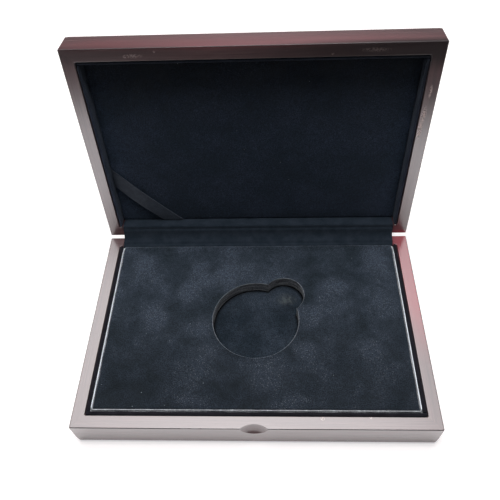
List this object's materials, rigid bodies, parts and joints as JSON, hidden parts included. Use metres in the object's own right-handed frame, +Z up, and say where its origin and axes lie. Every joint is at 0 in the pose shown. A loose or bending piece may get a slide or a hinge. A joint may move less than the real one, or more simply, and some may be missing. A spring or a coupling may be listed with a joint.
{
  "type": "coin display case",
  "caption": "Hinged lacquered wooden case, lid open, with a velvet tray recessed for a coin capsule and a padded lid with a corner ribbon.",
  "frame": {"origin": "middle of the underside, on the felt that the case stands on", "axes": "+Z up, -Y towards the front with the thumb scoop, +X to the right seen from the front"},
  "size_m": [0.18, 0.1493, 0.1372],
  "materials": {
    "lacquered_wood": "satin",
    "bare_board": "matte",
    "velvet": "matte",
    "lining_cloth": "matte",
    "foam": "matte",
    "card": "matte",
    "silver_cord": "satin",
    "felt": "matte",
    "ribbon_cloth": "satin",
    "hinge_brass": "satin",
    "hinge_steel": "satin"
  },
  "bodies": {
    "base": {"base_front_wall": "lacquered_wood", "base_back_wall": "lacquered_wood", "base_left_wall": "lacquered_wood", "base_right_wall": "lacquered_wood", "base_bottom_board": "bare_board", "underside_felt": "felt", "base_lining_front": "lining_cloth", "base_lining_left": "lining_cloth", "base_lining_right": "lining_cloth", "tray_riser_foam": "foam", "recess_floor_velvet": "velvet", "tray_foam": "foam", "tray_velvet": "velvet", "silver_piping": "silver_cord", "hinge_flap": "lining_cloth", "hinge_base_leaf_left": "hinge_brass", "hinge_base_leaf_right": "hinge_brass", "hinge_pin_left": "hinge_steel", "hinge_pin_right": "hinge_steel", "hinge_screw_base_left_1": "hinge_steel", "hinge_screw_base_left_2": "hinge_steel", "hinge_screw_base_right_1": "hinge_steel", "hinge_screw_base_right_2": "hinge_steel"},
    "lid": {"lid_top_board": "lacquered_wood", "lid_front_wall": "lacquered_wood", "lid_back_wall": "lacquered_wood", "lid_left_wall": "lacquered_wood", "lid_right_wall": "lacquered_wood", "lid_lining_front": "lining_cloth", "lid_lining_left": "lining_cloth", "lid_lining_right": "lining_cloth", "lid_pad_card": "card", "lid_pad": "velvet", "certificate_ribbon": "ribbon_cloth", "hinge_lid_leaf_left": "hinge_brass", "hinge_lid_leaf_right": "hinge_brass", "hinge_screw_lid_left_1": "hinge_steel", "hinge_screw_lid_left_2": "hinge_steel", "hinge_screw_lid_right_1": "hinge_steel", "hinge_screw_lid_right_2": "hinge_steel"}
  },
  "joints": [
    {"name": "lid_hinge", "type": "hinge", "parent": "base", "child": "lid", "pos_m": [0, 0.0605, 0.01815], "axis": [1, 0, 0], "range_deg": [0, 96.8], "deforming": ["hinge_flap"]}
  ]
}
